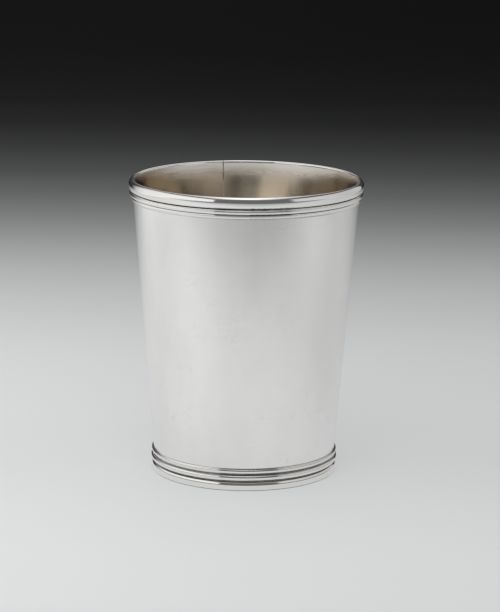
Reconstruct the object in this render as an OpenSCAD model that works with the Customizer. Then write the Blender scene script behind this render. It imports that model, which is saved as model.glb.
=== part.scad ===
// Tapered silver beaker with a reeded lip and a reeded foot.
// The wall is one sheet rolled into a cone and soldered up its side. A flat disc is let in above
// the table, and two drawn strips are bent round the wall, one at the lip and one at the foot.
// Millimetres, +Z up. The origin is on the table, under the middle of the cup.

/* [Cup] */
// Height from the table to the crest of the lip
height = 95; // [80:1:115]
// Outer diameter of the sheet wall, carried up to the lip
mouth_d = 73.2; // [67:0.1:80]
// Outer diameter of the sheet wall at the table
heel_d = 57.7; // [52:0.1:63]
// Thickness of the sheet that the wall is rolled from
wall_t = 0.7; // [0.5:0.05:1]
// Radius that the inner edge of the lip is eased to
lip_ease = 0.5; // [0.3:0.02:0.6]

/* [Side seam] */
// Width of the solder line that closes the wall
seam_w = 0.3; // [0.2:0.05:0.6]
// Where the seam stands, counted from +X towards +Y
seam_angle = 102.5; // [0:0.5:360]

/* [Base] */
// Thickness of the base disc
base_t = 0.8; // [0.6:0.05:1.4]
// Height of the underside of the base disc over the table
base_lift = 2.6; // [1.6:0.1:5]
// Leg of the solder fillets above and below the base disc
fillet_leg = 0.6; // [0.3:0.05:1]

/* [Rim moulding] */
// Height of the large reed, at the lip
rim_large_h = 3.54; // [3.2:0.02:4]
// Height of the middle reed
rim_middle_h = 1.72; // [1.4:0.02:2.2]
// Height of the small reed, the lowest
rim_small_h = 1.34; // [1:0.02:1.7]
// Radius of the large reed's crown, which turns over the lip
rim_crown_round = 1.78; // [1.6:0.02:1.9]
// Radius of the large reed's lower shoulder
rim_under_round = 0.74; // [0.5:0.02:1]
// Radius of the round shoulders of the middle reed
rim_middle_round = 0.68; // [0.4:0.02:0.8]
// Radius of the round shoulders of the small reed
rim_small_round = 0.52; // [0.3:0.02:0.6]
// How far the large reed stands out from the wall
rim_large_out = 1.12; // [0.9:0.02:1.3]
// How far the middle reed stands out from the wall
rim_middle_out = 1.14; // [0.9:0.02:1.2]
// How far the small reed stands out from the wall
rim_small_out = 0.74; // [0.6:0.02:0.8]
// Thickness of the strip at the bottom of its grooves
rim_web = 0.22; // [0.15:0.01:0.3]

/* [Foot moulding] */
// Height of the small reed, the highest
foot_small_h = 1.7; // [1.3:0.05:2.1]
// Height of the large reed
foot_large_h = 1.8; // [1.4:0.05:2.2]
// Height of the flat quirk under each of the two reeds
foot_quirk = 0.35; // [0.2:0.01:0.6]
// Height of the plain band that stands on the table
foot_band_h = 2.85; // [2.4:0.05:3.6]
// How far the small reed stands out from the wall
foot_small_out = 0.58; // [0.45:0.01:0.75]
// How far the large reed stands out from the wall
foot_large_out = 1.04; // [0.8:0.02:1.2]
// Radius of the round shoulders of the small reed
foot_small_round = 0.4; // [0.3:0.02:0.6]
// Radius of the round shoulders of the large reed
foot_large_round = 0.8; // [0.6:0.02:0.9]
// How far the plain band stands out from the wall
foot_band_out = 1.08; // [0.8:0.02:1.3]
// Thickness of the strip at the bottom of its grooves
foot_web = 0.1; // [0.06:0.01:0.2]
// Radius of the band's rounded top
band_round = 1.25; // [1:0.05:1.6]
// How much the band draws in from its round to its lower edge
band_lean = 0.1; // [0.04:0.01:0.2]
// Bevel along the band's lower edge
band_bevel = 0.2; // [0.1:0.02:0.3]

/* [Hidden] */
$fn = 144;
// Facets of the rounds of the reeds, the lip and the band
round_fn = 72;
// Steps of the two small arcs that dress the lip
lip_steps = 8;
// How far cutting shapes run past what they cut
overrun = 1;
// Most of a reed's height that one shoulder can take, as a share
shoulder_share = 0.48;

// The wall's outer face is a cone. Its inner face runs beside it, one sheet thickness in.
slope = (mouth_d - heel_d) / 2 / height;
taper = atan(slope);
wall_run = wall_t / cos(taper);
function outer_r(z) = heel_d / 2 + slope * z;
function inner_r(z) = outer_r(z) - wall_run;

function arc(centre, r, from, to, steps) =
    [for (i = [0:steps]) centre + r * [cos(from + (to - from) * i / steps), sin(from + (to - from) * i / steps)]];

// The crown of the large reed carries on over the top of the wall. The ease of the inner edge is
// an arc that touches both the crown and the wall's inner face.
lip_r = rim_crown_round;
lip_x = outer_r(height - lip_r) + rim_large_out - lip_r;
ease_z = height - lip_ease;
ease_x = inner_r(ease_z) + lip_ease / cos(taper);
lip_z = ease_z - sqrt(pow(lip_r - lip_ease, 2) - pow(ease_x - lip_x, 2));
ease_from = atan2(ease_z - lip_z, ease_x - lip_x);
// Where the lip's arc leaves the wall's outer face
lip_gap = outer_r(lip_z) - lip_x;
lip_q = 1 + slope * slope;
lip_rise = (sqrt(lip_q * lip_r * lip_r - lip_gap * lip_gap) - slope * lip_gap) / lip_q;
lip_from = atan2(lip_rise, lip_gap + slope * lip_rise);

// The lower shoulder of the large reed touches the same face as its crown.
under_z = height - rim_large_h + rim_under_round;
under_x = lip_x + slope * (under_z - lip_z) + (lip_r - rim_under_round) / cos(taper);

// Heights of the moulding lines
rim_groove_z = height - rim_large_h;
rim_quirk_z = rim_groove_z - rim_middle_h;
rim_foot_z = rim_quirk_z - rim_small_h;
foot_large_z = foot_band_h + foot_quirk;
foot_small_z = foot_large_z + foot_large_h + foot_quirk;
base_top = base_lift + base_t;
band_z = foot_band_h - band_round;

silver = [0.86, 0.86, 0.85];
bright_silver = [0.93, 0.93, 0.92];
solder_grey = [0.55, 0.54, 0.52];

// Half section of the rolled wall, with the dressed lip
module wall_section() {
    polygon(concat(
        [[inner_r(0), 0], [outer_r(0), 0]],
        arc([lip_x, lip_z], lip_r, lip_from, ease_from, lip_steps),
        arc([ease_x, ease_z], lip_ease, ease_from, 180 - taper, lip_steps)
    ));
}

// Upright slice of the wall where its two edges meet
module seam_slice() {
    reach = mouth_d / 2 + overrun;
    rotate([0, 0, seam_angle])
        translate([0, -seam_w / 2, -overrun])
            cube([reach, seam_w, height + 2 * overrun]);
}

// Everything inside the wall's outer face, cut away from both mouldings
module inside_wall() {
    polygon([
        [0, -overrun],
        [outer_r(-overrun), -overrun],
        [outer_r(height + overrun), height + overrun],
        [0, height + overrun]
    ]);
}

// Reed from z_low up to z_low + h: a face beside the wall between two round shoulders
module reed(z_low, h, out, round) {
    r = min(round, shoulder_share * h);
    low = z_low + r;
    high = z_low + h - r;
    low_x = outer_r(low) + out - r;
    high_x = outer_r(high) + out - r;
    face = r * [cos(taper), -sin(taper)];
    translate([low_x, low])
        circle(r, $fn = round_fn);
    translate([high_x, high])
        circle(r, $fn = round_fn);
    polygon([
        [outer_r(z_low) - overrun, z_low],
        [low_x, z_low],
        [low_x, low] + face,
        [high_x, high] + face,
        [high_x, z_low + h],
        [outer_r(z_low + h) - overrun, z_low + h]
    ]);
}

// Back of a drawn strip, from z_low to z_high, one web thick outside the wall
module strip_web(z_low, z_high, web) {
    polygon([
        [outer_r(z_low) - web, z_low],
        [outer_r(z_low) + web, z_low],
        [outer_r(z_high) + web, z_high],
        [outer_r(z_high) - web, z_high]
    ]);
}

// Large reed: the crown, the lower shoulder and the face between them
module lip_reed() {
    face = [cos(taper), -sin(taper)];
    translate([lip_x, lip_z])
        circle(lip_r, $fn = round_fn);
    translate([under_x, under_z])
        circle(rim_under_round, $fn = round_fn);
    polygon([
        [outer_r(rim_groove_z) - overrun, rim_groove_z],
        [under_x, rim_groove_z],
        [under_x, under_z] + rim_under_round * face,
        [lip_x, lip_z] + lip_r * face,
        [outer_r(lip_z) - overrun, lip_z]
    ]);
}

module rim_section() {
    difference() {
        union() {
            lip_reed();
            reed(rim_quirk_z, rim_middle_h, rim_middle_out, rim_middle_round);
            reed(rim_foot_z, rim_small_h, rim_small_out, rim_small_round);
            strip_web(rim_foot_z + rim_small_h / 2, lip_z, rim_web);
        }
        inside_wall();
    }
}

// Plain band: a rounded top over a face that draws in a little to a bevelled lower edge
module band_section() {
    face_r = outer_r(band_z) + foot_band_out;
    edge_r = face_r - band_lean;
    back_r = outer_r(0) - foot_web;
    intersection() {
        translate([face_r - band_round, band_z])
            circle(band_round, $fn = round_fn);
        translate([face_r - 2 * band_round, band_z])
            square([2 * band_round + overrun, band_round + overrun]);
    }
    polygon([
        [back_r, 0],
        [edge_r - band_bevel, 0],
        [edge_r, band_bevel],
        [face_r, band_z],
        [back_r, band_z]
    ]);
}

module foot_section() {
    difference() {
        union() {
            band_section();
            reed(foot_large_z, foot_large_h, foot_large_out, foot_large_round);
            reed(foot_small_z, foot_small_h, foot_small_out, foot_small_round);
            strip_web(band_z, foot_small_z + foot_small_h / 2, foot_web);
        }
        inside_wall();
    }
}

module body_wall() {
    color(silver)
        difference() {
            rotate_extrude()
                wall_section();
            seam_slice();
        }
}

module side_seam() {
    color(solder_grey)
        intersection() {
            rotate_extrude()
                wall_section();
            seam_slice();
        }
}

module base_disc() {
    color(silver)
        rotate_extrude()
            polygon([
                [0, base_lift],
                [inner_r(base_lift), base_lift],
                [inner_r(base_top), base_top],
                [0, base_top]
            ]);
}

module base_solder() {
    color(solder_grey)
        rotate_extrude() {
            polygon([
                [inner_r(base_lift), base_lift],
                [inner_r(base_lift) - fillet_leg, base_lift],
                [inner_r(base_lift - fillet_leg), base_lift - fillet_leg]
            ]);
            polygon([
                [inner_r(base_top), base_top],
                [inner_r(base_top) - fillet_leg, base_top],
                [inner_r(base_top + fillet_leg), base_top + fillet_leg]
            ]);
        }
}

module rim_moulding() {
    color(bright_silver)
        rotate_extrude()
            rim_section();
}

module foot_moulding() {
    color(bright_silver)
        rotate_extrude()
            foot_section();
}

body_wall();
side_seam();
base_disc();
base_solder();
rim_moulding();
foot_moulding();
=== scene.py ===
"""Silver beaker with a reeded lip and foot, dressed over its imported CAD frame.

Metres, +Z up, with the table at z = 0 under the middle of the cup. All the solids keep the CAD's own
shape. This script gives each of them its finish, and adds the floor, the light and the camera.
"""
import math

import bpy
from mathutils import Matrix, Vector


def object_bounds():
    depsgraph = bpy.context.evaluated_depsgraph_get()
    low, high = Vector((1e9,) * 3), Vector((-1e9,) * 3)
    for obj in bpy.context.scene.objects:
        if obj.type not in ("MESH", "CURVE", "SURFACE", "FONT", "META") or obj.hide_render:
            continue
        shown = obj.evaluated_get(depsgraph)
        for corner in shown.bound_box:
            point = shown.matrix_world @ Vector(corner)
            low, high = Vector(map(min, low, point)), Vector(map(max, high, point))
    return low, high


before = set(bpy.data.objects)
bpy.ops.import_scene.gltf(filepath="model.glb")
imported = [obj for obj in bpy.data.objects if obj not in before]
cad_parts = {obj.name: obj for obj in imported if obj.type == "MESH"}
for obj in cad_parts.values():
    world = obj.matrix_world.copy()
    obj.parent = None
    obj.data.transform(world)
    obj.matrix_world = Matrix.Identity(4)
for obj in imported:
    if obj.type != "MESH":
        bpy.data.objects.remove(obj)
cad_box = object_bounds()

MM = 0.001

# Driving sizes of the cup's sheet, as part.scad has them
HEIGHT = 95 * MM
MOUTH_R, HEEL_R = 36.6 * MM, 28.85 * MM
WALL_T = 0.7 * MM
LIP_EASE = 0.5 * MM
BASE_TOP = 3.4 * MM
WALL_SLOPE = (MOUTH_R - HEEL_R) / HEIGHT
TILT = math.atan(WALL_SLOPE)
SINE, COSINE = math.sin(TILT), math.cos(TILT)


def cone_r(height):
    """Radius of the wall's outer cone at a height."""
    return HEEL_R + WALL_SLOPE * height


def beside_cone(out, height):
    """A place on the cup's half section: so far out from the wall's outer cone, at a height."""
    return cone_r(height) + out, height


# Driving sizes of the two drawn strips, as part.scad has them
BAND_H, BAND_OUT, BAND_ROUND = 2.85 * MM, 1.08 * MM, 1.25 * MM
FOOT_QUIRK = 0.35 * MM
FOOT_LARGE_H, FOOT_LARGE_OUT, FOOT_LARGE_ROUND = 1.80 * MM, 1.04 * MM, 0.80 * MM
FOOT_SMALL_H, FOOT_SMALL_OUT, FOOT_SMALL_ROUND = 1.70 * MM, 0.58 * MM, 0.40 * MM
RIM_SMALL_H, RIM_SMALL_OUT, RIM_SMALL_ROUND = 1.34 * MM, 0.74 * MM, 0.52 * MM
RIM_MIDDLE_H, RIM_MIDDLE_OUT, RIM_MIDDLE_ROUND = 1.72 * MM, 1.14 * MM, 0.68 * MM
RIM_LARGE_H, RIM_LARGE_OUT = 3.54 * MM, 1.12 * MM
RIM_CROWN_ROUND, RIM_UNDER_ROUND = 1.78 * MM, 0.74 * MM

FOOT_LARGE_Z = BAND_H + FOOT_QUIRK
FOOT_SMALL_Z = FOOT_LARGE_Z + FOOT_LARGE_H + FOOT_QUIRK
FOOT_TOP_Z = FOOT_SMALL_Z + FOOT_SMALL_H
RIM_LARGE_Z = HEIGHT - RIM_LARGE_H
RIM_MIDDLE_Z = RIM_LARGE_Z - RIM_MIDDLE_H
RIM_SMALL_Z = RIM_MIDDLE_Z - RIM_SMALL_H

# Middles of the rounds of the lip: the ease of the wall's inner edge, the crown of the large reed, which
# touches that ease, and the reed's lower shoulder, which touches the same face as the crown
EASE_Z = HEIGHT - LIP_EASE
EASE_R = cone_r(EASE_Z) - (WALL_T - LIP_EASE) / COSINE
CROWN_R = cone_r(HEIGHT - RIM_CROWN_ROUND) + RIM_LARGE_OUT - RIM_CROWN_ROUND
CROWN_Z = EASE_Z - math.sqrt((RIM_CROWN_ROUND - LIP_EASE) ** 2 - (EASE_R - CROWN_R) ** 2)
UNDER_Z = RIM_LARGE_Z + RIM_UNDER_ROUND
UNDER_R = CROWN_R + WALL_SLOPE * (UNDER_Z - CROWN_Z) + (RIM_CROWN_ROUND - RIM_UNDER_ROUND) / COSINE


def reed(starts, low, high, crown_from=0.5, lift=0.0, droop=0.0):
    """One reed: where its stretch of height starts, the middles of its lower and its upper round, as radius
    and height, and how drawing has crowned it. The crown starts part of the way from the lower round to the
    upper one. Above that the face turns up by lift, and below it down by droop."""
    return {"starts": starts, "low": low, "high": high,
            "crown_from": crown_from, "lift": lift, "droop": droop}


def shoulders(foot, height, out, radius):
    """The middles of the two rounds of a reed that stands so far out beside the wall."""
    return beside_cone(out - radius, foot + radius), beside_cone(out - radius, foot + height - radius)


BAND_ROUND_Z = BAND_H - BAND_ROUND
BAND_MIDDLE = beside_cone(BAND_OUT - BAND_ROUND, BAND_ROUND_Z)
# The plain band and the five reeds, from the table up
REEDS = [
    reed(0.0, BAND_MIDDLE, BAND_MIDDLE),
    reed(FOOT_LARGE_Z - FOOT_QUIRK / 2,
         *shoulders(FOOT_LARGE_Z, FOOT_LARGE_H, FOOT_LARGE_OUT, FOOT_LARGE_ROUND), lift=0.3, droop=0.3),
    reed(FOOT_SMALL_Z - FOOT_QUIRK / 2,
         *shoulders(FOOT_SMALL_Z, FOOT_SMALL_H, FOOT_SMALL_OUT, FOOT_SMALL_ROUND), lift=0.5, droop=0.5),
    reed(HEIGHT / 2, *shoulders(RIM_SMALL_Z, RIM_SMALL_H, RIM_SMALL_OUT, RIM_SMALL_ROUND)),
    reed(RIM_MIDDLE_Z, *shoulders(RIM_MIDDLE_Z, RIM_MIDDLE_H, RIM_MIDDLE_OUT, RIM_MIDDLE_ROUND),
         crown_from=0.45, lift=2.0, droop=0.1),
    reed(RIM_LARGE_Z, (UNDER_R, UNDER_Z), (CROWN_R, CROWN_Z), crown_from=1.0, droop=0.13),
]
# What stands out less than this is the foot strip's web, in its quirks
FOOT_WEB_OUT = 0.13 * MM
# The wall's flat lower edge is below this
HEEL_EDGE = 0.02 * MM

# Painted shade and old polish in the lines of the drawn strips, from the table up: the lowest is a painted
# contact shadow along the band's lower edge, the others painted shade in the grooves and where the strips
# meet the wall, with some old polish there. Columns: the middle's height beside a line of the moulding, half
# of the width that stays dark, and how dark it is
SHADE_AND_DIRT_LINES = [
    # painted contact shadow along the band's lower edge, where the foot meets the table
    (0.09 * MM, 0.12 * MM, 0.95),
    (FOOT_LARGE_Z - 0.17 * MM, 0.19 * MM, 1.0),
    (FOOT_SMALL_Z - 0.15 * MM, 0.145 * MM, 0.95),
    (FOOT_TOP_Z + 0.06 * MM, 0.03 * MM, 0.8),
    (RIM_SMALL_Z - 0.03 * MM, 0.06 * MM, 0.5),
    (RIM_MIDDLE_Z + 0.01 * MM, 0.025 * MM, 0.75),
    (RIM_LARGE_Z + 0.01 * MM, 0.02 * MM, 0.8),
]
GROOVE_FADE = 0.03 * MM
GROOVE_RAGGED = 0.05 * MM


# Node helpers

NUMBER, VECTOR = "NodeSocketFloat", "NodeSocketVector"
# Numbers of the Mix node's sockets A, B and Result, for vectors and for colours
MIX_VECTORS = (4, 5, 1)
MIX_COLOURS = (6, 7, 2)
# The middle of a noise texture's values, and where most of them lie
NOISE_MIDDLE = 0.5
NOISE_SPREAD = (0.3, 0.7)


def feed(tree, socket, value):
    """Gives a socket its value, or joins it to another node's output."""
    if isinstance(value, bpy.types.NodeSocket):
        tree.links.new(value, socket)
    else:
        socket.default_value = value


def node(tree, kind, inputs=None, **settings):
    """A node with its settings, and with its sockets, by name or number, fed."""
    made = tree.nodes.new(kind)
    for name, value in settings.items():
        setattr(made, name, value)
    for name, value in (inputs or {}).items():
        feed(tree, made.inputs[name], value)
    return made


def calc(tree, operation, a, b=0.0, c=0.0):
    """The result of a Math node."""
    return node(tree, "ShaderNodeMath", {0: a, 1: b, 2: c}, operation=operation).outputs[0]


def times(tree, a, b):
    return calc(tree, "MULTIPLY", a, b)


def plus(tree, a, b):
    return calc(tree, "ADD", a, b)


def minus(tree, a, b):
    return calc(tree, "SUBTRACT", a, b)


def times_plus(tree, a, b, c):
    """The product of a and b, with c added."""
    return calc(tree, "MULTIPLY_ADD", a, b, c)


def part_way(tree, share, a, b):
    """The value a share of the way from a to b."""
    return times_plus(tree, share, minus(tree, b, a), a)


def away_from(tree, value, middle):
    """How far value is from middle, either way."""
    return calc(tree, "ABSOLUTE", minus(tree, value, middle))


def ramp_between(tree, value, low, high, out_low=0.0, out_high=1.0):
    """A smooth step of value, from out_low at low to out_high at high."""
    ends = {"Value": value, "From Min": low, "From Max": high, "To Min": out_low, "To Max": out_high}
    made = node(tree, "ShaderNodeMapRange", ends, interpolation_type="SMOOTHSTEP", clamp=True)
    return made.outputs[0]


def ramp_line(tree, value, low, high):
    """A straight ramp of value, from 0 at low to 1 at high."""
    return node(tree, "ShaderNodeMapRange", {"Value": value, "From Min": low, "From Max": high}).outputs[0]


def blend_colour(tree, share, a, b, kind="MIX"):
    """Colour a with a share of b over it."""
    first, second, result = MIX_COLOURS
    inputs = {"Factor": share, first: a, second: b}
    return node(tree, "ShaderNodeMix", inputs, data_type="RGBA", blend_type=kind).outputs[result]


def blend_normal(tree, share, a, b):
    """Normal a with a share of b over it."""
    first, second, result = MIX_VECTORS
    inputs = {"Factor": share, first: a, second: b}
    return node(tree, "ShaderNodeMix", inputs, data_type="VECTOR").outputs[result]


def vector_calc(tree, operation, a, b=(0, 0, 0)):
    """The result of a Vector Math node."""
    return node(tree, "ShaderNodeVectorMath", {0: a, 1: b}, operation=operation).outputs[0]


def split(tree, vector):
    """The three parts of a vector."""
    return node(tree, "ShaderNodeSeparateXYZ", {0: vector}).outputs


def join(tree, x, y, z=0.0):
    return node(tree, "ShaderNodeCombineXYZ", {0: x, 1: y, 2: z}).outputs[0]


def noise(tree, vector, scale, detail=2.0, roughness=0.5, distortion=0.0, stretch=None):
    """The value of a noise texture. It is drawn out along the axes that stretch scales least."""
    if stretch:
        vector = vector_calc(tree, "MULTIPLY", vector, stretch)
    return node(tree, "ShaderNodeTexNoise", {"Vector": vector, "Scale": scale, "Detail": detail,
                                             "Roughness": roughness, "Distortion": distortion}).outputs[0]


def start_group(name, inputs, outputs):
    """A new shader node group. Gives its tree, its inputs by name, and its output sockets by name."""
    tree = bpy.data.node_groups.new(name, "ShaderNodeTree")
    for title, kind, default in inputs:
        socket = tree.interface.new_socket(title, in_out="INPUT", socket_type=kind)
        if default is not None:
            socket.default_value = default
    for title, kind in outputs:
        tree.interface.new_socket(title, in_out="OUTPUT", socket_type=kind)
    return tree, node(tree, "NodeGroupInput").outputs, node(tree, "NodeGroupOutput").inputs


def use_group(tree, group, inputs):
    """A group's outputs, by name, with its inputs fed."""
    made = tree.nodes.new("ShaderNodeGroup")
    made.node_tree = group
    for name, value in inputs.items():
        feed(tree, made.inputs[name], value)
    return made.outputs


# Effects of the silver, each one group

PLACE_PARTS = [("Radius", NUMBER), ("Height", NUMBER), ("Stand Out", NUMBER), ("Turned", VECTOR)]


def cup_place_group():
    """Where a point of the surface is on the cup: its radius, its height, how far it stands out from the
    wall's outer cone, and a vector whose first two parts turn with the cup's side."""
    tree, get, out = start_group("cup_place", [("Place", VECTOR, None)], PLACE_PARTS)
    x, y, height = split(tree, get["Place"])
    flat = join(tree, x, y)
    radius = node(tree, "ShaderNodeVectorMath", {0: flat}, operation="LENGTH").outputs["Value"]
    side_x, side_y, _ = split(tree, vector_calc(tree, "NORMALIZE", flat))
    feed(tree, out["Radius"], radius)
    feed(tree, out["Height"], height)
    feed(tree, out["Stand Out"], minus(tree, radius, times_plus(tree, height, WALL_SLOPE, HEEL_R)))
    feed(tree, out["Turned"], join(tree, side_x, side_y, radius))
    return tree


# Where in their grain the scratches are cut, where in broader patches they come, how broad those patches are
# and how much of the grain's own height shows
SCRATCH_CUT, SCRATCH_PATCHES = (0.52, 0.68), (0.45, 0.65)
SCRATCH_PATCH_SCALE, GRAIN_SHARE = 0.31, 0.35


def polish_lines_group():
    """Fine scratches that run one way: the vector is scaled hard across them and little along them."""
    tree, get, out = start_group(
        "polish_lines", [("Vector", VECTOR, None), ("Fine", NUMBER, 1.0), ("Share", NUMBER, 0.5)],
        [("Height", NUMBER), ("Mask", NUMBER)])
    grain = noise(tree, get["Vector"], get["Fine"], detail=3.0, roughness=0.7)
    patches = noise(tree, get["Vector"], times(tree, get["Fine"], SCRATCH_PATCH_SCALE))
    cut = ramp_between(tree, grain, *SCRATCH_CUT)
    sparse = ramp_between(tree, patches, *SCRATCH_PATCHES)
    lines = times(tree, cut, times(tree, sparse, get["Share"]))
    feed(tree, out["Mask"], lines)
    feed(tree, out["Height"], minus(tree, times(tree, grain, GRAIN_SHARE), lines))
    return tree


SMALL_WAVE_SCALE, SMALL_WAVE_SHARE = 3.1, 0.12


def hand_ripple_group():
    """The slow waves that hammering and rolling leave in sheet, too shallow to feel."""
    tree, get, out = start_group(
        "hand_ripple", [("Vector", VECTOR, None), ("Size", NUMBER, 90.0)], [("Height", NUMBER)])
    small_size = times(tree, get["Size"], SMALL_WAVE_SCALE)
    broad = noise(tree, get["Vector"], get["Size"], detail=1.0, roughness=0.4)
    small = noise(tree, get["Vector"], small_size, detail=1.0, roughness=0.4)
    feed(tree, out["Height"], times_plus(tree, small, SMALL_WAVE_SHARE, broad))
    return tree


# The share of a speck that is fully dark, and the scale and the soft edge of the patches that specks come in
SPECK_CORE, SPECK_PATCH_SCALE, SPECK_PATCH_EDGE = 0.35, 0.11, 0.08


def specks_group():
    """Sparse pin-point pits and spots."""
    tree, get, out = start_group(
        "specks", [("Vector", VECTOR, None), ("Scale", NUMBER, 900.0), ("Size", NUMBER, 0.16),
                   ("Rarity", NUMBER, 0.6)], [("Mask", NUMBER)])
    cells = node(tree, "ShaderNodeTexVoronoi", {"Vector": get["Vector"], "Scale": get["Scale"]})
    core = times(tree, get["Size"], SPECK_CORE)
    spot = ramp_between(tree, cells.outputs["Distance"], core, get["Size"], 1.0, 0.0)
    patches = noise(tree, get["Vector"], times(tree, get["Scale"], SPECK_PATCH_SCALE))
    chosen = ramp_between(tree, patches, get["Rarity"], plus(tree, get["Rarity"], SPECK_PATCH_EDGE))
    feed(tree, out["Mask"], times(tree, spot, chosen))
    return tree


def pick_by_height(tree, height, values):
    """The value of the reed whose stretch of height the point is in."""
    picked = values[0]
    for above, value_below, value in zip(REEDS[1:], values, values[1:]):
        passed = calc(tree, "GREATER_THAN", height, above["starts"])
        picked = times_plus(tree, passed, value - value_below, picked)
    return picked


def point_out(tree, turned, out, up):
    """A unit vector on the cup's side from its part away from the axis and its part upwards."""
    x, y, _ = split(tree, turned)
    return vector_calc(tree, "NORMALIZE", join(tree, times(tree, x, out), times(tree, y, out), up))


def start_normal_group(name):
    """A new group that works out a normal from a place on the cup."""
    return start_group(name, [(title, kind, None) for title, kind in PLACE_PARTS], [("Normal", VECTOR)])


def own_normal(tree):
    """The mesh's own normal."""
    return node(tree, "ShaderNodeNewGeometry").outputs["Normal"]


def drawn_profile_group():
    """The true normal of the drawn strips. Each reed is a face beside the wall between two rounds, so the
    place is split into a part along the wall and a part square to it. These are taken from the middle of the
    nearest round, or from the line between the two, changed by the reed's crown and turned back. In the
    quirks and on the band's face the surface keeps its own normal."""
    tree, get, out = start_normal_group("drawn_profile")
    height = get["Height"]
    along = plus(tree, times(tree, get["Radius"], SINE), times(tree, height, COSINE))
    square = minus(tree, times(tree, get["Radius"], COSINE), times(tree, height, SINE))

    def of_reed(what):
        return pick_by_height(tree, height, [one[what] for one in REEDS])

    def middle_of(which):
        """The middle of the lower or the upper round: along the wall, and square to it."""
        places = [one[which] for one in REEDS]
        return (pick_by_height(tree, height, [r * SINE + z * COSINE for r, z in places]),
                pick_by_height(tree, height, [r * COSINE - z * SINE for r, z in places]))

    low_along, low_square = middle_of("low")
    high_along, high_square = middle_of("high")
    nearest = calc(tree, "MAXIMUM", low_along, calc(tree, "MINIMUM", high_along, along))
    off_along = minus(tree, along, nearest)
    upper = calc(tree, "GREATER_THAN", off_along, 0.0)
    off_square = minus(tree, square, part_way(tree, upper, low_square, high_square))
    crown = part_way(tree, of_reed("crown_from"), low_along, high_along)
    above = calc(tree, "MAXIMUM", minus(tree, along, crown), 0.0)
    below = calc(tree, "MINIMUM", minus(tree, nearest, crown), 0.0)
    off_along = times_plus(tree, above, of_reed("lift"), off_along)
    off_along = times_plus(tree, below, of_reed("droop"), off_along)
    outward = plus(tree, times(tree, off_along, SINE), times(tree, off_square, COSINE))
    upward = minus(tree, times(tree, off_along, COSINE), times(tree, off_square, SINE))
    round_normal = point_out(tree, get["Turned"], calc(tree, "MAXIMUM", outward, 0.0), upward)
    proud = calc(tree, "GREATER_THAN", get["Stand Out"], FOOT_WEB_OUT)
    rounded = times(tree, proud, calc(tree, "GREATER_THAN", height, BAND_ROUND_Z))
    feed(tree, out["Normal"], blend_normal(tree, rounded, own_normal(tree), round_normal))
    return tree


def rolled_sheet_group():
    """The true normal of the rolled wall: its cone's, inside and out, and that of the lip's eased inner edge.
    The flat lower edge keeps its own."""
    tree, get, out = start_normal_group("rolled_sheet")
    outside = calc(tree, "GREATER_THAN", get["Stand Out"], -WALL_T / 2)
    facing = times_plus(tree, outside, 2.0, -1.0)
    cone_normal = point_out(tree, get["Turned"], times(tree, facing, COSINE), times(tree, facing, -SINE))
    over_edge = calc(tree, "GREATER_THAN", get["Height"], HEEL_EDGE)
    normal = blend_normal(tree, over_edge, own_normal(tree), cone_normal)
    outward = minus(tree, get["Radius"], EASE_R)
    upward = minus(tree, get["Height"], EASE_Z)
    eased = calc(tree, "GREATER_THAN", upward, LIP_EASE * SINE)
    round_normal = point_out(tree, get["Turned"], outward, upward)
    feed(tree, out["Normal"], blend_normal(tree, eased, normal, round_normal))
    return tree


def groove_shade_and_dirt_group():
    """Painted shade, partly dark polish, in the grooves and at the edges of the drawn strips, with a ragged
    edge.
    """
    tree, get, out = start_group(
        "groove_shade_and_dirt", [("Place", VECTOR, None), ("Height", NUMBER, 0.0)], [("Mask", NUMBER)])
    ragged = noise(tree, get["Place"], scale=500, detail=3.0, roughness=0.6, stretch=(1, 1, 2))
    shift = times_plus(tree, ragged, GROOVE_RAGGED, -GROOVE_RAGGED / 2)
    shade_and_dirt = 0.0
    # each line is painted shade, with old polish in the grooves, and the lowest a painted contact shadow
    for height, half, dark in SHADE_AND_DIRT_LINES:
        away = plus(tree, away_from(tree, get["Height"], height), shift)
        shade_and_dirt = calc(tree, "MAXIMUM", shade_and_dirt, ramp_between(tree, away, half, half + GROOVE_FADE, dark, 0.0))
    feed(tree, out["Mask"], shade_and_dirt)
    return tree


CUP_PLACE = cup_place_group()
GROOVE_SHADE_AND_DIRT = groove_shade_and_dirt_group()
DRAWN_PROFILE = drawn_profile_group()
ROLLED_SHEET = rolled_sheet_group()
POLISH_LINES = polish_lines_group()
HAND_RIPPLE = hand_ripple_group()
SPECKS = specks_group()


# Finishes

def new_material(name):
    """A bare metal: its material, tree, Principled shader, place on the object and place on the cup."""
    made = bpy.data.materials.new(name)
    made.use_nodes = True
    tree = made.node_tree
    tree.nodes.clear()
    shader = node(tree, "ShaderNodeBsdfPrincipled", {"Metallic": 1.0, "IOR": 1.45})
    node(tree, "ShaderNodeOutputMaterial", {"Surface": shader.outputs[0]})
    place = node(tree, "ShaderNodeTexCoord").outputs["Object"]
    return made, tree, shader, place, use_group(tree, CUP_PLACE, {"Place": place})


def bump(tree, height, depth, below=None):
    """A Bump node's normal, over another normal if that is given."""
    inputs = {"Height": height, "Distance": depth, "Strength": 1.0}
    if below is not None:
        inputs["Normal"] = below
    return node(tree, "ShaderNodeBump", inputs).outputs[0]


def polish_lines(tree, vector, stretch, fine, share):
    vector = vector_calc(tree, "MULTIPLY", vector, stretch)
    return use_group(tree, POLISH_LINES, {"Vector": vector, "Fine": fine, "Share": share})


def hand_ripple(tree, place, stretch, size):
    vector = vector_calc(tree, "MULTIPLY", place, stretch)
    return use_group(tree, HAND_RIPPLE, {"Vector": vector, "Size": size})["Height"]


def specks(tree, place, scale, size, rarity):
    return use_group(tree, SPECKS, {"Vector": place, "Scale": scale, "Size": size, "Rarity": rarity})["Mask"]


def true_normal(tree, group, at):
    return use_group(tree, group, {title: at[title] for title, _ in PLACE_PARTS})["Normal"]


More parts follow.
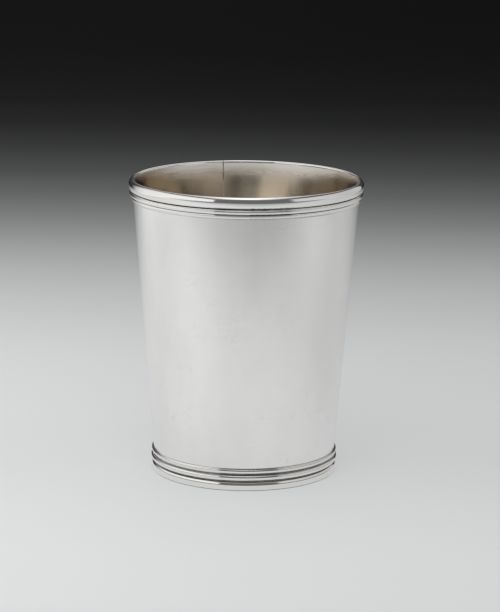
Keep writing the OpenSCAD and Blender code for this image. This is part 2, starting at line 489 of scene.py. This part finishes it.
# Named ramps give two values to step between, and the shares at these where they aren't 0 and 1.
# Ramps by place look at how far out from the wall's outer cone a point is, how high, or how far behind.
INSIDE_FACE = (-0.55 * WALL_T, -0.4 * WALL_T, 1.0, 0.0)
DRESSED_LIP = (HEIGHT - 0.95 * MM, HEIGHT - 0.55 * MM)
CUP_BACK = (0.45, 0.85)
CUP_FRONT = (-0.8, -0.95)
DEEP_INSIDE = (HEIGHT - 29 * MM, HEIGHT - 3 * MM, 0.9, 0.0)

LIP_SILVER = (0.94, 0.94, 0.93, 1)
LIP_ROUGH = 0.07

# Outside of the wall: its satin, its hairlines and spots, and the painted shade lines just under the rim
# strip and just over the foot strip, partly old polish, each by its height, half of its width and where it
# has faded out
SATIN_DULL, SATIN_PALE = (0.925, 0.915, 0.895, 1), (0.98, 0.97, 0.955, 1)
MARK_GREY = (0.52, 0.50, 0.46, 1)
HAIRLINE_WIDTH, HAIRLINE_SHARE = (0.004, 0.016, 1.0, 0.0), 0.11
SCUFFED = (0.48, 0.62)
SPOT_SHARE = 0.14
STRIP_SHADE_LINES = [(RIM_SMALL_Z - 0.1 * MM, 0.12 * MM, 0.34 * MM), (FOOT_TOP_Z + 0.05 * MM, 0.08 * MM, 0.20 * MM)]
STRIP_SHADE_DARK = (0.22, 0.21, 0.19, 1)
STRIP_SHADE_SHARE = (0.35, 0.6, 0.1, 0.6)

# Inside of the wall: the heights where its tarnish ends, lower at the back and with a ragged edge, the
# colours of the tarnish and of the silver worn free of it, and a stain, by its direction and where it comes
TARNISH_END = (HEIGHT - 2.0 * MM, HEIGHT + 5.4 * MM, 1.0, 0.0)
TARNISH_BACK_DROP = 3.5 * MM
TARNISH_RAGGED = 3.5 * MM
TARNISH_DARK, TARNISH_PALE = (0.785, 0.725, 0.63, 1), (0.865, 0.805, 0.71, 1)
TARNISH_FRONT, TARNISH_DEEP = (0.92, 0.875, 0.80, 1), (0.94, 0.895, 0.82, 1)
WORN_SILVER = (0.95, 0.91, 0.85, 1)
STAIN = (0.34, 0.29, 0.235, 1)
STAIN_X, STAIN_Y = -0.8, 0.6
STAINED, STAIN_RAGGED = (0.54, 0.82, 0.0, 0.9), -0.12

# Roughness and relief of the wall: how rough the satin is by its streaks and the tarnish by its mottle, what
# the worn silver and the scratches add, how deep the scratches are inside, and the share of that outside
SATIN_ROUGH = (0.25, 0.75, 0.20, 0.215)
TARNISH_ROUGH = (0.0, 1.0, 0.13, 0.16)
WORN_ROUGH = (0.0, 1.0, 0.27, 0.0)
SCRATCH_ROUGH = 0.06
SCRATCH_DEPTH, SCRATCH_OUTSIDE = 0.004 * MM, 0.2
# How much of its metal's look a thin film takes from the worn silver
FILM_SHARE = 0.75


def satin_outside(tree, place, at, cloud):
    """Even grey-white with faint clouds, hairlines and spots, and painted shade, partly old polish, beside
    the two strips.
    """
    colour = blend_colour(tree, ramp_between(tree, cloud, *NOISE_SPREAD), SATIN_DULL, SATIN_PALE)
    curl = noise(tree, place, scale=210, distortion=0.4, stretch=(1, 1, 1.6))
    hairline = ramp_between(tree, away_from(tree, curl, NOISE_MIDDLE), *HAIRLINE_WIDTH)
    scuffed = ramp_between(tree, noise(tree, place, scale=75), *SCUFFED)
    hairline = times(tree, hairline, times(tree, scuffed, HAIRLINE_SHARE))
    spots = specks(tree, place, scale=420.0, size=0.12, rarity=0.5)
    marks = calc(tree, "MAXIMUM", hairline, times(tree, spots, SPOT_SHARE))
    colour = blend_colour(tree, marks, colour, MARK_GREY)
    # painted shade on the wall just under the rim strip and just over the foot strip
    ledge, sill = (ramp_between(tree, away_from(tree, at["Height"], height), half, gone, 1.0, 0.0)
                   for height, half, gone in STRIP_SHADE_LINES)
    share = ramp_between(tree, cloud, *STRIP_SHADE_SHARE)
    return blend_colour(tree, times(tree, calc(tree, "MAXIMUM", ledge, sill), share), colour, STRIP_SHADE_DARK)


def tarnish_mask(tree, place, at):
    """Where the inside is still tarnished, below the worn top."""
    _, behind, _ = split(tree, at["Turned"])
    height = times_plus(tree, ramp_between(tree, behind, *CUP_BACK), TARNISH_BACK_DROP, at["Height"])
    ragged = noise(tree, place, scale=130, detail=4.0, roughness=0.6, stretch=(0.6, 0.6, 4))
    return ramp_between(tree, times_plus(tree, ragged, TARNISH_RAGGED, height), *TARNISH_END)


def tarnished_inside(tree, at, cloud, mottle, tarnish):
    """Mottled tan, paler at the front and deep down, stained at the back left and worn off at the top."""
    right, behind, _ = split(tree, at["Turned"])
    colour = blend_colour(tree, mottle, TARNISH_DARK, TARNISH_PALE)
    colour = blend_colour(tree, ramp_between(tree, behind, *CUP_FRONT), colour, TARNISH_FRONT)
    colour = blend_colour(tree, ramp_between(tree, at["Height"], *DEEP_INSIDE), colour, TARNISH_DEEP)
    towards = times_plus(tree, behind, STAIN_Y, times(tree, right, STAIN_X))
    stained = ramp_between(tree, times_plus(tree, cloud, STAIN_RAGGED, towards), *STAINED)
    colour = blend_colour(tree, stained, colour, STAIN)
    return blend_colour(tree, tarnish, WORN_SILVER, colour)


def wall_silver():
    """The rolled sheet: satin outside, warm and dull inside, bright where the lip was dressed."""
    made, tree, shader, place, at = new_material("wall_silver")
    inside = ramp_between(tree, at["Stand Out"], *INSIDE_FACE)
    lip = ramp_between(tree, at["Height"], *DRESSED_LIP)
    cloud = noise(tree, place, scale=45, detail=3.0, roughness=0.55, stretch=(1, 1, 0.6))
    mottle = noise(tree, place, scale=120, detail=4.0, roughness=0.6, stretch=(1, 1, 0.35))
    mottle = ramp_between(tree, mottle, *NOISE_SPREAD)
    tarnish = tarnish_mask(tree, place, at)
    colour = blend_colour(tree, inside, satin_outside(tree, place, at, cloud),
                          tarnished_inside(tree, at, cloud, mottle, tarnish))
    feed(tree, shader.inputs["Base Color"], blend_colour(tree, lip, colour, LIP_SILVER))
    below_lip = times(tree, inside, minus(tree, 1.0, lip))
    film = times(tree, below_lip, minus(tree, 1.0, tarnish))
    feed(tree, shader.inputs["Metallic"], times_plus(tree, film, -FILM_SHARE, 1.0))
    rings = polish_lines(tree, place, stretch=(10, 10, 900), fine=1.6, share=0.8)
    streak = noise(tree, place, scale=260, detail=3.0, roughness=0.6, stretch=(1, 1, 0.06))
    rough_out = ramp_between(tree, streak, *SATIN_ROUGH)
    rough_in = ramp_between(tree, mottle, *TARNISH_ROUGH)
    rough_in = plus(tree, rough_in, ramp_between(tree, tarnish, *WORN_ROUGH))
    rough = part_way(tree, inside, rough_out, rough_in)
    rough = plus(tree, rough, times(tree, rings["Mask"], SCRATCH_ROUGH))
    feed(tree, shader.inputs["Roughness"], part_way(tree, lip, rough, LIP_ROUGH))
    waves = hand_ripple(tree, place, stretch=(1, 1, 0.8), size=110.0)
    normal = bump(tree, waves, depth=0.05 * MM, below=true_normal(tree, ROLLED_SHEET, at))
    scratches = times(tree, rings["Height"], part_way(tree, inside, SCRATCH_OUTSIDE, 1.0))
    feed(tree, shader.inputs["Normal"], bump(tree, scratches, SCRATCH_DEPTH, below=normal))
    return made


BURNISHED, OLD_POLISH_AND_SHADE = (0.935, 0.925, 0.905, 1), (0.10, 0.093, 0.085, 1)
PIT_GREY, PIT_SHARE = (0.5, 0.48, 0.44, 1), 0.35
BURNISHED_ROUGH, GRIME_ROUGH, DRAWN_ROUGH = 0.075, 0.22, 0.05


def moulding_silver():
    """Drawn strip, burnished bright, with painted shade in its grooves and along its edges, partly old polish
    left where the polishing cloth doesn't reach.
    """
    made, tree, shader, place, at = new_material("moulding_silver")
    shade_and_grime = use_group(tree, GROOVE_SHADE_AND_DIRT, {"Place": place, "Height": at["Height"]})["Mask"]
    pits = specks(tree, place, scale=600.0, size=0.12, rarity=0.6)
    # the grooves and edges are painted near black: painted shade, partly old polish
    colour = blend_colour(tree, shade_and_grime, BURNISHED, OLD_POLISH_AND_SHADE)
    colour = blend_colour(tree, times(tree, pits, PIT_SHARE), colour, PIT_GREY)
    feed(tree, shader.inputs["Base Color"], colour)
    drawn = polish_lines(tree, place, stretch=(14, 14, 1400), fine=1.4, share=0.6)
    rough = times_plus(tree, shade_and_grime, GRIME_ROUGH, BURNISHED_ROUGH)
    feed(tree, shader.inputs["Roughness"], times_plus(tree, drawn["Mask"], DRAWN_ROUGH, rough))
    waves = hand_ripple(tree, place, stretch=(1, 1, 0.5), size=120.0)
    normal = bump(tree, waves, depth=0.035 * MM, below=true_normal(tree, DRAWN_PROFILE, at))
    feed(tree, shader.inputs["Normal"], bump(tree, drawn["Height"], depth=0.0015 * MM, below=normal))
    return made


# Below this stretch of height is the disc's underside
UNDERSIDE = (BASE_TOP - 0.3 * MM, BASE_TOP - 0.1 * MM, 1.0, 0.0)
INSIDE_TAN, INSIDE_TAN_PALE = (0.86, 0.785, 0.665, 1), (0.93, 0.875, 0.775, 1)
UNDER_GREY, UNDER_GREY_PALE = (0.80, 0.79, 0.765, 1), (0.88, 0.875, 0.86, 1)
UNDER_GREY_SPREAD = (0.35, 0.65)
DISC_ROUGH, TABLE_SCRATCH_ROUGH = (0.2, 0.3), 0.08


def base_silver():
    """The disc: a dull tan face inside, and a grey face underneath, both with scratches."""
    made, tree, shader, place, at = new_material("base_silver")
    under = ramp_between(tree, at["Height"], *UNDERSIDE)
    mottle = noise(tree, place, scale=140, detail=4.0, roughness=0.6)
    warm = blend_colour(tree, ramp_between(tree, mottle, *NOISE_SPREAD), INSIDE_TAN, INSIDE_TAN_PALE)
    grey = blend_colour(tree, ramp_between(tree, mottle, *UNDER_GREY_SPREAD), UNDER_GREY, UNDER_GREY_PALE)
    feed(tree, shader.inputs["Base Color"], blend_colour(tree, under, warm, grey))
    rings = polish_lines(tree, at["Turned"], stretch=(0.9, 0.9, 2600), fine=1.0, share=0.8)
    rough = ramp_between(tree, mottle, *NOISE_SPREAD, *DISC_ROUGH)
    feed(tree, shader.inputs["Roughness"], times_plus(tree, rings["Mask"], TABLE_SCRATCH_ROUGH, rough))
    waves = hand_ripple(tree, place, stretch=(1, 1, 1), size=130.0)
    normal = bump(tree, waves, depth=0.03 * MM)
    feed(tree, shader.inputs["Normal"], bump(tree, rings["Height"], depth=0.004 * MM, below=normal))
    return made


SOLDER_DARK, SOLDER_PALE = (0.20, 0.19, 0.17, 1), (0.46, 0.44, 0.40, 1)
SOLDER_LOW, SOLDER_DRESSED = (0.64, 0.62, 0.58, 1), (0.74, 0.68, 0.58, 1)
SOLDER_OUTSIDE = (0.88, 0.87, 0.84, 1)
# The fillets at the base are low down, the dressed joint starts above them, and near the lip the joint is
# open and dark, with a ragged end. On the wall's outside the joint is as pale as the sheet.
FILLETS = (BASE_TOP + 2.6 * MM, BASE_TOP + 5.6 * MM, 0.6, 0.0)
JOINT_START = (BASE_TOP + 4.6 * MM, BASE_TOP + 8.6 * MM)
OPEN_JOINT = (HEIGHT - 6.5 * MM, HEIGHT - 3.5 * MM)
JOINT_RAGGED = 2.5 * MM
OUTSIDE_FACE = (-0.4 * WALL_T, -0.2 * WALL_T, 0.0, 0.85)
DRESSED_SHARE = 0.85
SOLDER_ROUGH, DRESSED_SMOOTHER = (0.5, 0.33), 0.22


def solder():
    """Hard solder, greyer and duller than the sheet it joins, and paler where it was dressed with it."""
    made, tree, shader, place, at = new_material("solder")
    height = at["Height"]
    patch = noise(tree, place, scale=900, detail=3.0, roughness=0.6, stretch=(1, 1, 0.5))
    colour = blend_colour(tree, ramp_between(tree, patch, *NOISE_SPREAD), SOLDER_DARK, SOLDER_PALE)
    colour = blend_colour(tree, ramp_between(tree, height, *FILLETS), colour, SOLDER_LOW)
    open_joint = ramp_between(tree, times_plus(tree, patch, JOINT_RAGGED, height), *OPEN_JOINT)
    dressed = times(tree, ramp_between(tree, height, *JOINT_START), minus(tree, 1.0, open_joint))
    colour = blend_colour(tree, times(tree, dressed, DRESSED_SHARE), colour, SOLDER_DRESSED)
    outside = ramp_between(tree, at["Stand Out"], *OUTSIDE_FACE)
    feed(tree, shader.inputs["Base Color"], blend_colour(tree, outside, colour, SOLDER_OUTSIDE))
    rough = ramp_between(tree, patch, *NOISE_SPREAD, *SOLDER_ROUGH)
    feed(tree, shader.inputs["Roughness"], times_plus(tree, dressed, -DRESSED_SMOOTHER, rough))
    feed(tree, shader.inputs["Normal"], bump(tree, patch, depth=0.02 * MM))
    return made


FINISHES = {"wall_silver": wall_silver(), "moulding_silver": moulding_silver(),
            "base_silver": base_silver(), "solder": solder()}
NODE_FINISH = {"body_wall": "wall_silver", "side_seam": "solder", "base_disc": "base_silver",
               "base_solder": "solder", "rim_moulding": "moulding_silver", "foot_moulding": "moulding_silver"}
for name, finish in NODE_FINISH.items():
    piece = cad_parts[name]
    for slot in piece.material_slots:
        slot.material = FINISHES[finish]
    if not piece.material_slots:
        piece.data.materials.append(FINISHES[finish])


# Floor and light

FLOOR_REACH = 8.0
FLOOR_TINT = (0.985, 1, 1.005)
# Painted light on the table: how pale it is painted at each distance behind the cup's axis, in metres,
# falling off away from one soft light
FLOOR_PAINTED_LIGHT = [
    (-0.6, 0.18), (-0.275, 0.46), (-0.19, 0.65), (-0.14, 0.732), (-0.097, 0.736), (-0.049, 0.714),
    (0.006, 0.674), (0.036, 0.668), (0.068, 0.671), (0.103, 0.661), (0.141, 0.643), (0.181, 0.614),
    (0.225, 0.561), (0.273, 0.504), (0.325, 0.424), (0.382, 0.325), (0.444, 0.221), (0.514, 0.138),
    (0.591, 0.079), (0.678, 0.0455), (0.775, 0.0246), (0.885, 0.0160), (1.01, 0.0130), (1.157, 0.0110),
    (1.4, 0.0105)]
FLOOR_FRONT, FLOOR_BACK = FLOOR_PAINTED_LIGHT[0][0], FLOOR_PAINTED_LIGHT[-1][0]
# Painted light on the table, lit more from the left: how bright it is painted on its left and on its right,
# as shares of that, and how far out that is reached
FLOOR_LEFT_LIGHT, FLOOR_RIGHT_LIGHT, FLOOR_SIDE = 1.12, 0.915, 0.2
# Share of the table's brightness that is its own, and how bright the lamps make a white one
FLOOR_OWN = 0.62
FLOOR_LIT = 0.92


def painted_floor_light(tree, behind):
    """The table's colour by its distance behind the cup, with the fall-off of the light painted in."""
    made = node(tree, "ShaderNodeValToRGB", {0: ramp_line(tree, behind, FLOOR_FRONT, FLOOR_BACK)})
    stops = made.color_ramp.elements
    while len(stops) > 1:
        stops.remove(stops[-1])
    for i, (distance, share) in enumerate(FLOOR_PAINTED_LIGHT):
        at = (distance - FLOOR_FRONT) / (FLOOR_BACK - FLOOR_FRONT)
        stop = stops[0] if i == 0 else stops.new(at)
        stop.position = at
        stop.color = [share * tint for tint in FLOOR_TINT] + [1]
    return made.outputs[0]


def table_top():
    """Pale near the cup and darker with distance, the fall-off of one soft light painted into its colour, and
    brighter on the left. A plain part of its brightness is its own glow, seen by the camera, the silver and
    glass, and the rest takes the cup's shadow."""
    made = bpy.data.materials.new("table_top")
    made.use_nodes = True
    tree = made.node_tree
    tree.nodes.clear()
    across, behind, _ = split(tree, node(tree, "ShaderNodeTexCoord").outputs["Object"])
    level = ramp_between(tree, across, -FLOOR_SIDE, FLOOR_SIDE, FLOOR_LEFT_LIGHT, FLOOR_RIGHT_LIGHT)
    level = node(tree, "ShaderNodeCombineColor", {0: level, 1: level, 2: level}).outputs[0]
    # painted light: the fall-off with distance, brighter on the left
    colour = blend_colour(tree, 1.0, painted_floor_light(tree, behind), level, "MULTIPLY")
    share = {0: colour, "Scale": (1 - FLOOR_OWN) / FLOOR_LIT}
    lit = node(tree, "ShaderNodeVectorMath", share, operation="SCALE").outputs[0]
    matt = node(tree, "ShaderNodeBsdfDiffuse", {"Color": lit}).outputs[0]
    ray = node(tree, "ShaderNodeLightPath").outputs
    seen = calc(tree, "MAXIMUM", ray["Is Glossy Ray"], ray["Is Transmission Ray"])
    seen = calc(tree, "MAXIMUM", ray["Is Camera Ray"], seen)
    glow = {"Color": colour, "Strength": times(tree, seen, FLOOR_OWN)}
    own = node(tree, "ShaderNodeEmission", glow).outputs[0]
    both = node(tree, "ShaderNodeAddShader", {0: matt, 1: own}).outputs[0]
    node(tree, "ShaderNodeOutputMaterial", {"Surface": both})
    return made


def make_floor():
    mesh = bpy.data.meshes.new("table_top")
    corners = [(x * FLOOR_REACH, y * FLOOR_REACH, 0) for x, y in ((-1, -1), (1, -1), (1, 1), (-1, 1))]
    mesh.from_pydata(corners, [], [(0, 1, 2, 3)])
    floor = bpy.data.objects.new("table_top", mesh)
    floor.location.z = cad_box[0].z
    mesh.materials.append(table_top())
    bpy.context.scene.collection.objects.link(floor)


# Places and sizes in metres, the roll in degrees, and the shares of the cloth that fade out at its one side,
# its other side, its top and its bottom
SOFTBOXES = {
    "left_softbox": dict(middle=(-0.30, -0.01, 0.325), faces=(0, -0.01, 0.325), roll=12, width=0.98,
                         height=0.66, radiance=0.78, fades=(0.34, 0.05, 0.36, 0.22)),
    "right_softbox": dict(middle=(0.36, 0.13, 0.26), faces=(0, 0.13, 0.26), roll=-12, width=1.04,
                          height=0.53, radiance=0.48, fades=(0.10, 0.10, 0.10, 0.20)),
    "back_softbox": dict(middle=(0, 0.290, 0.535), faces=(0, -0.05, -0.09), roll=0, width=0.66,
                         height=1.34, radiance=1.04, fades=(0.45, 0.45, 0.05, 0.32)),
}
# The fill lights the table from over the camera, and the silver doesn't mirror it
FILL = dict(middle=(-0.25, -1.7, 1.6), faces=(0, 0, 0), width=2.4, height=2.4, radiance=1.7)
# How bright the room around the cup is in front and behind, how far forward or back a direction points where
# the one turns into the other, and the dark that the camera sees
ROOM_FRONT, ROOM_BACK = 0.14, 0.04
ROOM_TURNS = (-0.3, 0.5)
ROOM_DARK = (0.0075, 0.0082, 0.0080, 1)
WHITE = (1, 1, 1, 1)
WATTS_PER_RADIANCE = math.pi


def area_lamp(name, middle, faces, width, height, radiance):
    """A rectangular lamp of the given radiance, which the camera doesn't see."""
    data = bpy.data.lights.new(name, "AREA")
    data.shape, data.size, data.size_y = "RECTANGLE", width, height
    data.energy = radiance * width * height * WATTS_PER_RADIANCE
    lamp = bpy.data.objects.new(name, data)
    lamp.location = middle
    lamp.rotation_euler = (Vector(faces) - Vector(middle)).to_track_quat("-Z", "Y").to_euler()
    lamp.visible_camera = False
    bpy.context.scene.collection.objects.link(lamp)
    return lamp


def soften(data, side, other_side, top, bottom):
    """Lets a softbox fade out towards its four edges, as its cloth does."""
    data.use_nodes = True
    tree = data.node_tree
    tree.nodes.clear()
    across, up, _ = split(tree, node(tree, "ShaderNodeNewGeometry").outputs["Parametric"])
    level = 1.0
    for way, low, high in ((across, side, other_side), (up, bottom, top)):
        level = times(tree, level, ramp_between(tree, way, 0.0, low))
        level = times(tree, level, ramp_between(tree, way, 1.0 - high, 1.0, 1.0, 0.0))
    light = node(tree, "ShaderNodeEmission", {"Strength": level}).outputs[0]
    node(tree, "ShaderNodeOutputLight", {"Surface": light})


def make_room():
    """A dim room that is darkest behind the cup. The camera sees it plain and dark."""
    world = bpy.data.worlds.new("studio")
    bpy.context.scene.world = world
    world.use_nodes = True
    tree = world.node_tree
    tree.nodes.clear()
    _, behind, _ = split(tree, node(tree, "ShaderNodeTexCoord").outputs["Generated"])
    level = ramp_between(tree, behind, *ROOM_TURNS, ROOM_FRONT, ROOM_BACK)
    lit = node(tree, "ShaderNodeBackground", {"Color": WHITE, "Strength": level}).outputs[0]
    dark = node(tree, "ShaderNodeBackground", {"Color": ROOM_DARK, "Strength": 1.0}).outputs[0]
    camera_ray = node(tree, "ShaderNodeLightPath").outputs["Is Camera Ray"]
    mixed = node(tree, "ShaderNodeMixShader", {0: camera_ray, 1: lit, 2: dark}).outputs[0]
    node(tree, "ShaderNodeOutputWorld", {"Surface": mixed})


def make_light():
    """Softboxes left, right and over the back, a fill for the table, and the room."""
    for name, box in SOFTBOXES.items():
        lamp = area_lamp(name, box["middle"], box["faces"], box["width"], box["height"], box["radiance"])
        lamp.rotation_euler.rotate_axis("Z", math.radians(box["roll"]))
        soften(lamp.data, *box["fades"])
    area_lamp("ceiling_fill", **FILL).visible_glossy = False
    make_room()


# Camera

# Place in metres and turns in radians, and the focal length in pixels of the photograph's longer side
CAMERA_PLACE = Vector((0, -0.81495, 0.23053))
CAMERA_PITCH, CAMERA_YAW, CAMERA_ROLL = 0.2141, 0.0019, 0.0101
FOCAL_PIXELS = 2585.2
LONG_SIDE_PIXELS = 612
SENSOR_MM = 36
NEAREST, FARTHEST = 0.05, 30


def make_camera():
    """The photograph's own camera, a long lens a little above the cup."""
    data = bpy.data.cameras.new("camera")
    data.sensor_width = SENSOR_MM
    data.lens = FOCAL_PIXELS * SENSOR_MM / LONG_SIDE_PIXELS
    data.clip_start, data.clip_end = NEAREST, FARTHEST
    camera = bpy.data.objects.new("camera", data)
    ahead = Vector((math.sin(CAMERA_YAW), math.cos(CAMERA_YAW), 0))
    forward = math.cos(CAMERA_PITCH) * ahead - math.sin(CAMERA_PITCH) * Vector((0, 0, 1))
    level = Vector((math.cos(CAMERA_YAW), -math.sin(CAMERA_YAW), 0))
    upright = level.cross(forward)
    right = math.cos(CAMERA_ROLL) * level + math.sin(CAMERA_ROLL) * upright
    up = -math.sin(CAMERA_ROLL) * level + math.cos(CAMERA_ROLL) * upright
    turn = Matrix((right, up, -forward)).transposed().to_4x4()
    camera.matrix_world = Matrix.Translation(CAMERA_PLACE) @ turn
    bpy.context.scene.collection.objects.link(camera)
    bpy.context.scene.camera = camera


make_floor()
make_light()
make_camera()
bpy.context.scene.view_settings.view_transform = "Standard"
